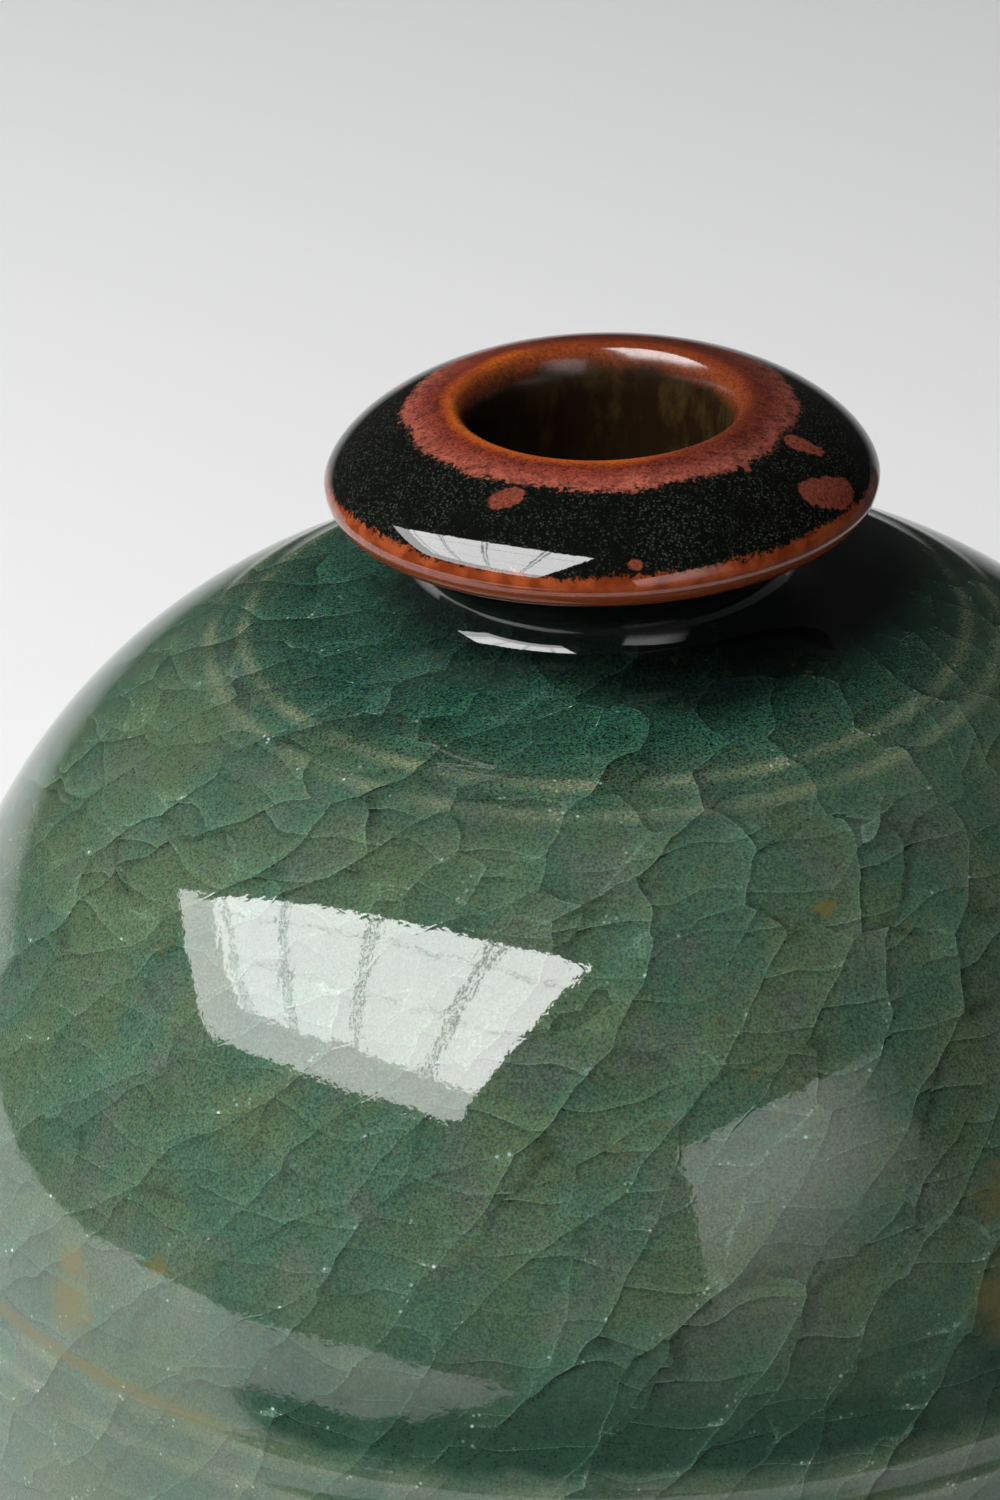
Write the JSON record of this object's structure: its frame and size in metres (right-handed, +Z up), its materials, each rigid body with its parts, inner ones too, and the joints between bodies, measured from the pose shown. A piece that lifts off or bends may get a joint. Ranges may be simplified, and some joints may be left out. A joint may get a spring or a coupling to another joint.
{
  "type": "bud vase",
  "caption": "Squat round-shouldered ceramic bud vase with a short neck, a saucer-shaped mouth collar, raised string lines and a turned foot ring.",
  "frame": {"origin": "centre of the foot ring's resting face, on the surface that the vase stands on", "axes": "+Z up along the vase's axis of revolution, X and Y across it"},
  "size_m": [0.115, 0.115, 0.1177],
  "materials": {
    "bare_stoneware": "unglazed, sanded, dry",
    "covered_stoneware": "fired clay under glaze",
    "celadon": "glossy deep green, crackled in overlapping flakes",
    "iron_black": "glossy black breaking to rust at edges",
    "olive_liner": "glossy olive brown, streaked"
  },
  "bodies": {
    "root": {"foot_ring": "bare_stoneware", "lower_body": "covered_stoneware", "shoulder": "covered_stoneware", "mouth_collar": "covered_stoneware", "celadon_glaze": "celadon", "iron_glaze": "iron_black", "liner_glaze": "olive_liner", "foot_well_glaze": "celadon"}
  },
  "joints": []
}
